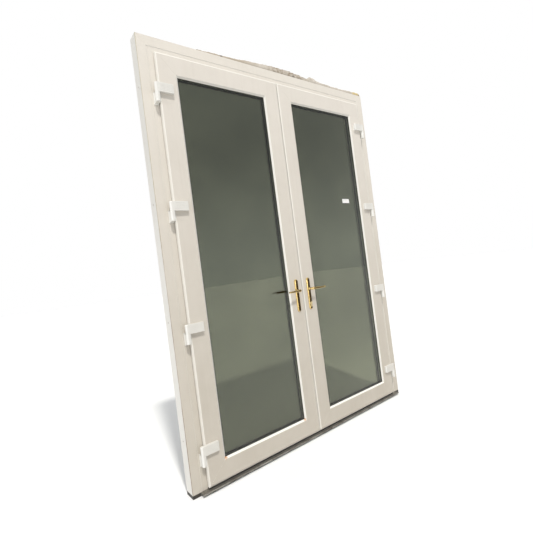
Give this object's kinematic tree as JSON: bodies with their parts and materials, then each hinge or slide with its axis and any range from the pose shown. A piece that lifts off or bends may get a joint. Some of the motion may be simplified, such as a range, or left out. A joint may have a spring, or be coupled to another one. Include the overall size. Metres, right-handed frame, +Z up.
{
  "type": "french doors",
  "caption": "White plastic-framed french doors in their outer frame, with two outward-opening double-glazed leaves, flag hinges, brass levers and a low metal threshold.",
  "frame": {"origin": "middle of the threshold's underside, in the plane of the outer face of the frame", "axes": "+X to the right and +Z up as seen from outside; outside faces -Y"},
  "size_m": [1.74, 0.18, 2.3591],
  "materials": {
    "white_profile": "smooth white plastic, a little weathered",
    "white_bead": "smooth white plastic",
    "white_hinge": "white coated hinge",
    "bar_steel": "galvanised steel bar",
    "lock_steel": "zinc-plated steel",
    "threshold_metal": "worn mill-finish aluminium",
    "spacer_metal": "bright folded aluminium",
    "black_rubber": "matt black rubber",
    "black_plastic": "matt black plastic",
    "pane_glass": "clear float glass, dark behind",
    "handle_brass": "polished brass, spotted with age",
    "old_sealant": "dried sealant, crumbly and stained",
    "white_label": "blank paper label"
  },
  "bodies": {
    "frame": {"outer_frame": "white_profile", "frame_reinforcement": "bar_steel", "threshold": "threshold_metal", "threshold_end_blocks": "black_plastic", "threshold_rebate": "threshold_metal", "threshold_seal": "black_rubber", "frame_seal": "black_rubber", "shootbolt_keeps": "lock_steel", "hinge_bodies": "white_hinge", "hinge_pins": "lock_steel", "sealant_remains": "old_sealant"},
    "left_leaf": {"left_sash": "white_profile", "left_reinforcement": "bar_steel", "left_outer_pane": "pane_glass", "left_inner_pane": "pane_glass", "left_spacer": "spacer_metal", "left_edge_seal": "black_rubber", "left_gaskets": "black_rubber", "left_beads": "white_bead", "left_packers": "black_plastic", "left_leaf_seal": "black_rubber", "left_hinge_flags": "white_hinge", "flying_mullion": "white_profile", "mullion_seal": "black_rubber", "lock_keeps": "lock_steel", "shootbolt_gearbox": "lock_steel", "left_outer_plate": "handle_brass", "left_inner_plate": "handle_brass", "left_handle_screws": "handle_brass"},
    "left_handle": {"left_outer_lever": "handle_brass", "left_inner_lever": "handle_brass", "left_spindle": "lock_steel"},
    "upper_shootbolt": {"upper_shootbolt": "lock_steel"},
    "lower_shootbolt": {"lower_shootbolt": "lock_steel"},
    "right_leaf": {"right_sash": "white_profile", "right_reinforcement": "bar_steel", "right_outer_pane": "pane_glass", "right_inner_pane": "pane_glass", "right_spacer": "spacer_metal", "right_edge_seal": "black_rubber", "right_gaskets": "black_rubber", "right_beads": "white_bead", "right_packers": "black_plastic", "right_leaf_seal": "black_rubber", "right_hinge_flags": "white_hinge", "meeting_profile": "white_profile", "meeting_seal": "black_rubber", "lock_case": "lock_steel", "lock_cylinder": "handle_brass", "right_outer_plate": "handle_brass", "right_inner_plate": "handle_brass", "right_handle_screws": "handle_brass", "glass_sticker": "white_label"},
    "right_handle": {"right_outer_lever": "handle_brass", "right_inner_lever": "handle_brass", "right_spindle": "lock_steel"},
    "latch": {"latch_bolt": "lock_steel"},
    "dead_bolts": {"dead_bolts": "lock_steel"},
    "cylinder_plug": {"cylinder_plug": "handle_brass"}
  },
  "joints": [
    {"name": "left_leaf_swing", "type": "hinge", "parent": "frame", "child": "left_leaf", "pos_m": [-0.801, -0.026, 0], "axis": [0, 0, -1], "range_deg": [0, 170]},
    {"name": "right_leaf_swing", "type": "hinge", "parent": "frame", "child": "right_leaf", "pos_m": [0.801, -0.026, 0], "axis": [0, 0, 1], "range_deg": [0, 170]},
    {"name": "left_handle_turn", "type": "hinge", "parent": "left_leaf", "child": "left_handle", "pos_m": [-0.05, 0, 0.918], "axis": [0, 1, 0], "range_deg": [-45, 45], "stiffness_Nm_per_rad": 1},
    {"name": "right_handle_turn", "type": "hinge", "parent": "right_leaf", "child": "right_handle", "pos_m": [0.05, 0, 0.918], "axis": [0, 1, 0], "range_deg": [-45, 45], "stiffness_Nm_per_rad": 1},
    {"name": "upper_shootbolt_slide", "type": "slide", "parent": "left_leaf", "child": "upper_shootbolt", "axis": [0, 0, 1], "range_m": [0, 0.022]},
    {"name": "lower_shootbolt_slide", "type": "slide", "parent": "left_leaf", "child": "lower_shootbolt", "axis": [0, 0, -1], "range_m": [0, 0.022]},
    {"name": "latch_slide", "type": "slide", "parent": "right_leaf", "child": "latch", "axis": [-1, 0, 0], "range_m": [0, 0.011]},
    {"name": "dead_bolts_slide", "type": "slide", "parent": "right_leaf", "child": "dead_bolts", "axis": [-1, 0, 0], "range_m": [0, 0.016]},
    {"name": "cylinder_plug_turn", "type": "hinge", "parent": "right_leaf", "child": "cylinder_plug", "pos_m": [0.05, 0.015, 0.826], "axis": [0, 1, 0], "range_deg": [0, 360]}
  ],
  "couplings": [
    {"joint": "lower_shootbolt_slide", "follows": "upper_shootbolt_slide", "ratio": 1}
  ]
}
